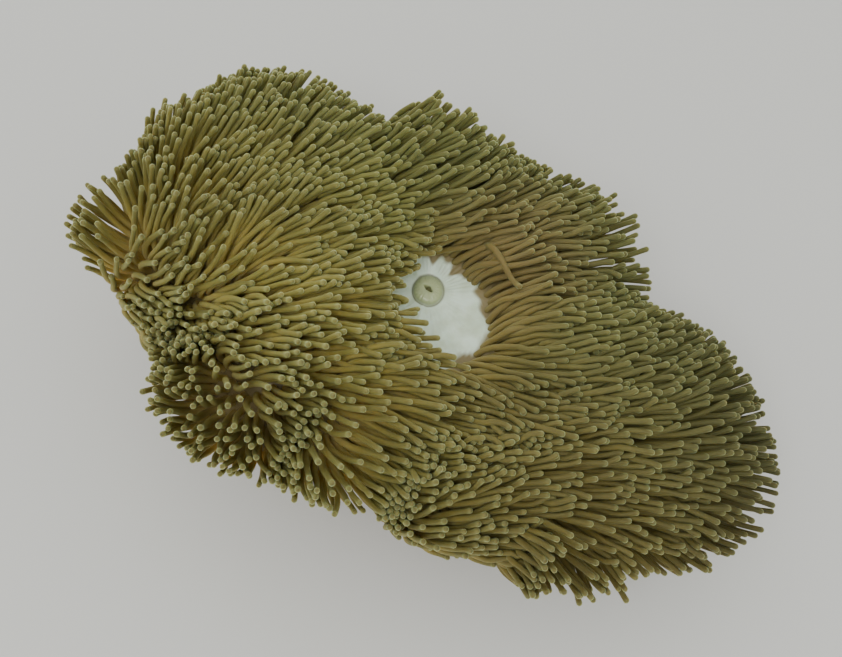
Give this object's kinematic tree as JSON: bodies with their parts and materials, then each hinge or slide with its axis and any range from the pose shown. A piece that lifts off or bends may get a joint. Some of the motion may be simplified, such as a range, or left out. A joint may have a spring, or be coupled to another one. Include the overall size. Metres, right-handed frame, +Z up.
{
  "type": "magnificent sea anemone",
  "caption": "Life-size magnificent sea anemone, fully open: folded oral disc covered in finger-like tentacles that lean with the current, bare pale mouth area, stout column and flat foot.",
  "frame": {"origin": "centre of the pedal disc's flat underside, on the floor", "axes": "+Z up, -Y towards the viewer, +X to the viewer's right, the way the water carries the tentacles"},
  "size_m": [0.4975, 0.3993, 0.1937],
  "materials": {
    "column": "moist mauve skin, satin",
    "oral_disc": "moist pale cream skin, satin",
    "mouth": "moist pale yellow-green lips, satin",
    "tentacles": "moist olive-brown, slightly translucent, with paler tips"
  },
  "bodies": {
    "root": {"pedal_disc": "column", "column": "column", "oral_disc": "oral_disc", "mouth": "mouth", "lobe_back": "tentacles", "lobe_back_left": "tentacles", "lobe_back_right": "tentacles", "lobe_front": "tentacles", "lobe_front_left": "tentacles", "lobe_front_right": "tentacles", "lobe_left": "tentacles", "lobe_right": "tentacles"}
  },
  "joints": []
}
